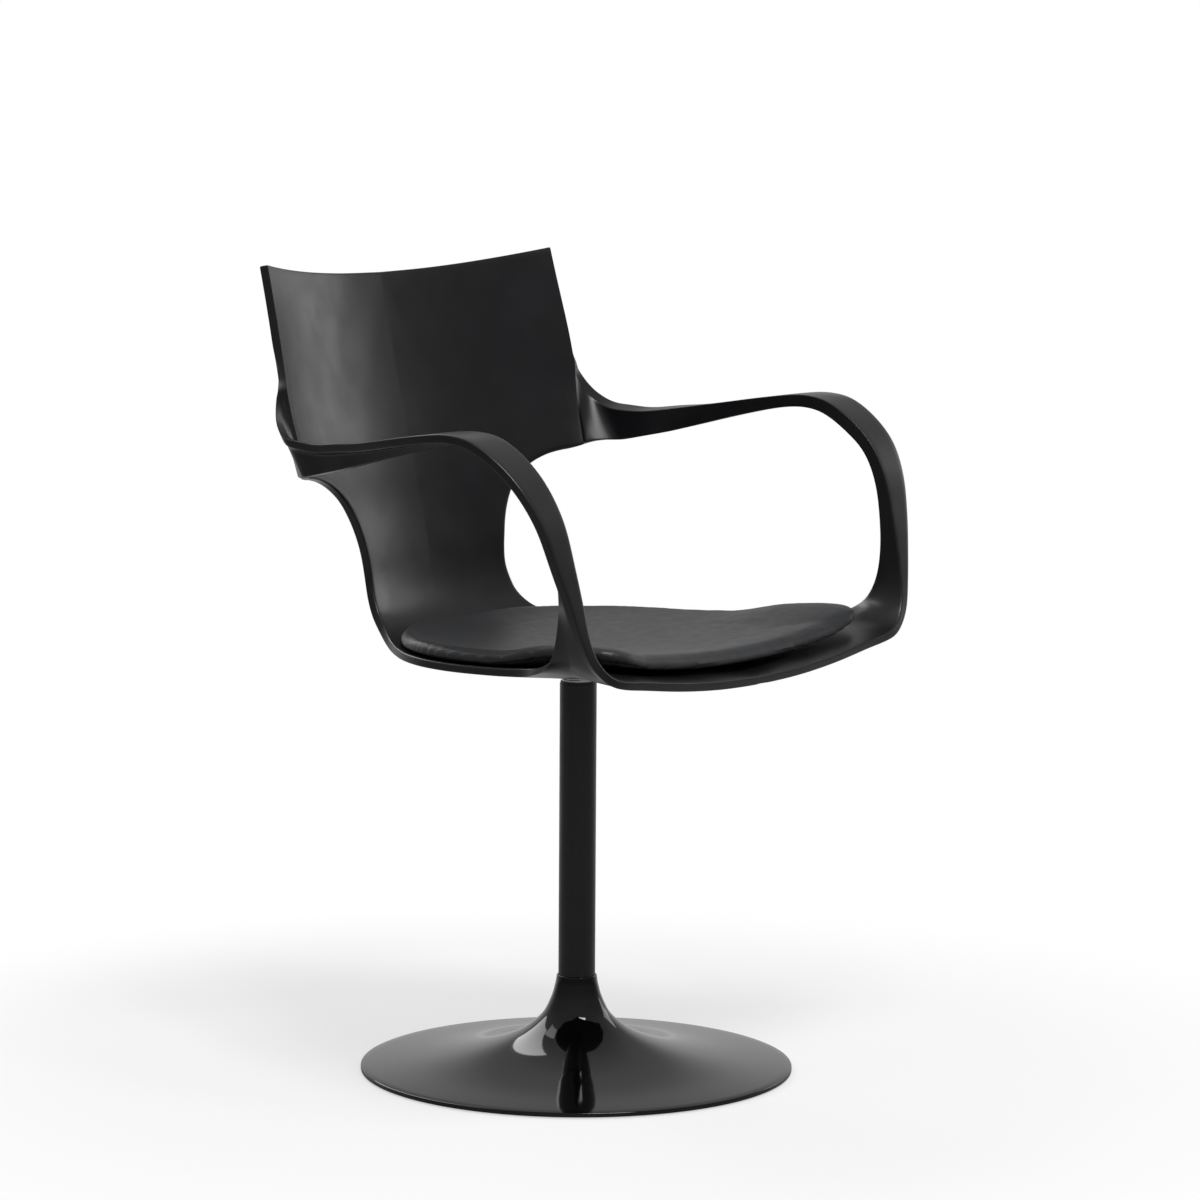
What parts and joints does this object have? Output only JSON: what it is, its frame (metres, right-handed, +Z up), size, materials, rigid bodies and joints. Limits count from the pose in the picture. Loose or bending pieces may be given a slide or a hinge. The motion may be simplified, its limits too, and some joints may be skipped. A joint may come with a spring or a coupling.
{
  "type": "pedestal swivel armchair",
  "caption": "Swivel armchair: a one-piece black plastic shell with ribbon-like loop arms and a thin dished seat pad, on a slim steel column that flares into a round trumpet base.",
  "frame": {"origin": "on the swivel axis at floor level, in the middle of the round base", "axes": "+Z up along the column, the sitter faces -Y, and +X is the sitter's left"},
  "size_m": [0.6434, 0.4973, 0.8205],
  "materials": {
    "base_paint": "gloss",
    "column_paint": "satin",
    "rubber": "matte",
    "cast_iron": "rough",
    "zinc_steel": "satin",
    "bearing_steel": "polished",
    "brass": "satin",
    "bush_plastic": "matte",
    "shell_plastic": "satin",
    "tape_fabric": "matte",
    "board": "matte",
    "foam": "matte",
    "pad_leather": "satin"
  },
  "bodies": {
    "base": {"base_cover": "base_paint", "floor_ring": "rubber", "weight_pads": "rubber", "base_weight": "cast_iron", "column_socket": "cast_iron", "weight_screws": "zinc_steel", "column_tube": "column_paint", "column_plug": "zinc_steel", "tie_washer": "zinc_steel", "tie_bolt": "zinc_steel", "lower_bush": "bush_plastic", "upper_bush": "bush_plastic", "thrust_race_lower": "bearing_steel"},
    "rollers": {"bearing_cage": "brass", "bearing_balls": "bearing_steel"},
    "seat": {"thrust_race_upper": "bearing_steel", "spindle": "zinc_steel", "retainer_washer": "zinc_steel", "retainer_screw": "zinc_steel", "seat_plate": "column_paint", "plate_screws": "zinc_steel", "shell_inserts": "brass", "seat_shell": "shell_plastic", "hook_tapes": "tape_fabric", "loop_tapes": "tape_fabric", "pad_board": "board", "pad_foam": "foam", "pad_cover": "pad_leather"}
  },
  "joints": [
    {"name": "seat_swivel", "type": "hinge", "parent": "base", "child": "seat", "pos_m": [0, 0, 0.4], "axis": [0, 0, 1], "continuous": true},
    {"name": "roller_turn", "type": "hinge", "parent": "base", "child": "rollers", "pos_m": [0, 0, 0.4], "axis": [0, 0, 1], "continuous": true}
  ],
  "couplings": [
    {"joint": "roller_turn", "follows": "seat_swivel", "ratio": 0.5}
  ]
}
